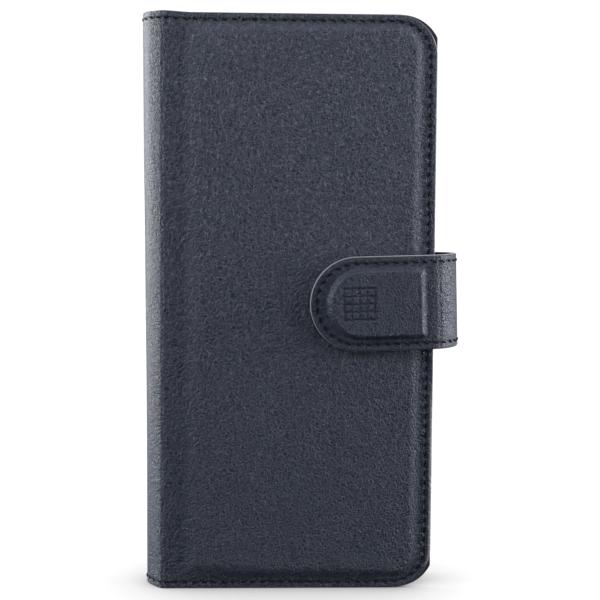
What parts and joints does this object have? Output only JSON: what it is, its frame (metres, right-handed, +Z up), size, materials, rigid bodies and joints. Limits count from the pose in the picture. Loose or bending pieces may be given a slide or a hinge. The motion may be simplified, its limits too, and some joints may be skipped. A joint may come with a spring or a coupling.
{
  "type": "phone wallet case",
  "caption": "Book-style leather phone case with a rounded spine, padded front, phone tray, card and cash pockets, and a strap that closes round the free edge with magnets.",
  "frame": {"origin": "bottom centre of the closed case's bounding box, standing on its bottom edge", "axes": "+X from the spine to the free edge, +Y from the front cover to the back cover, +Z up along the spine"},
  "size_m": [0.0954, 0.024, 0.172],
  "materials": {
    "outer_leather": "pebbled, satin",
    "lining": "fine matt microfibre",
    "pocket_leather": "smooth, matt",
    "board": "plain",
    "padding": "soft felt padding",
    "thread": "waxed polyester thread",
    "catch_steel": "plain",
    "magnet": "nickel plated",
    "holder": "moulded",
    "tray_plastic": "soft, flexible, satin",
    "glue": "adhesive film"
  },
  "bodies": {
    "back_cover": {"back_leather": "outer_leather", "back_board": "board", "back_lining": "lining", "back_thread": "thread", "tray_glue": "glue", "phone_tray": "tray_plastic", "strap_tab": "outer_leather"},
    "spine": {"spine_leather": "outer_leather", "spine_stiffener": "board", "spine_lining": "lining", "spine_thread": "thread"},
    "front_cover": {"front_leather": "outer_leather", "front_foam": "padding", "front_board": "board", "front_lining": "lining", "catch_plate": "catch_steel", "cash_pocket": "pocket_leather", "card_pocket_1": "pocket_leather", "card_pocket_2": "pocket_leather", "card_pocket_3": "pocket_leather", "pocket_thread": "thread", "front_thread": "thread"},
    "strap_wrap": {"wrap_leather": "outer_leather", "wrap_lining": "lining", "wrap_thread": "thread"},
    "strap_flap": {"flap_leather": "outer_leather", "flap_lining": "lining", "flap_thread": "thread", "magnet_holder": "holder", "magnets": "magnet"},
    "power_key": {"power_key_cover": "tray_plastic"},
    "volume_key": {"volume_key_cover": "tray_plastic"}
  },
  "joints": [
    {"name": "spine_fold", "type": "hinge", "parent": "back_cover", "child": "spine", "pos_m": [-0.04235, 0.01069, 0.086], "axis": [0, 0, -1], "range_deg": [0, 175]},
    {"name": "cover_fold", "type": "hinge", "parent": "spine", "child": "front_cover", "pos_m": [-0.04235, -0.00639, 0.086], "axis": [0, 0, -1], "range_deg": [0, 175]},
    {"name": "strap_root_fold", "type": "hinge", "parent": "back_cover", "child": "strap_wrap", "pos_m": [0.04055, 0.01047, 0.08739], "axis": [-0.0314, 0, 0.9995], "range_deg": [0, 120]},
    {"name": "strap_tip_fold", "type": "hinge", "parent": "strap_wrap", "child": "strap_flap", "pos_m": [0.04055, -0.00987, 0.08739], "axis": [-0.0314, 0, 0.9995], "range_deg": [0, 90]},
    {"name": "power_press", "type": "slide", "parent": "back_cover", "child": "power_key", "axis": [-1, 0, 0], "range_m": [0, 0.0003]},
    {"name": "volume_press", "type": "slide", "parent": "back_cover", "child": "volume_key", "axis": [-1, 0, 0], "range_m": [0, 0.0003]}
  ]
}
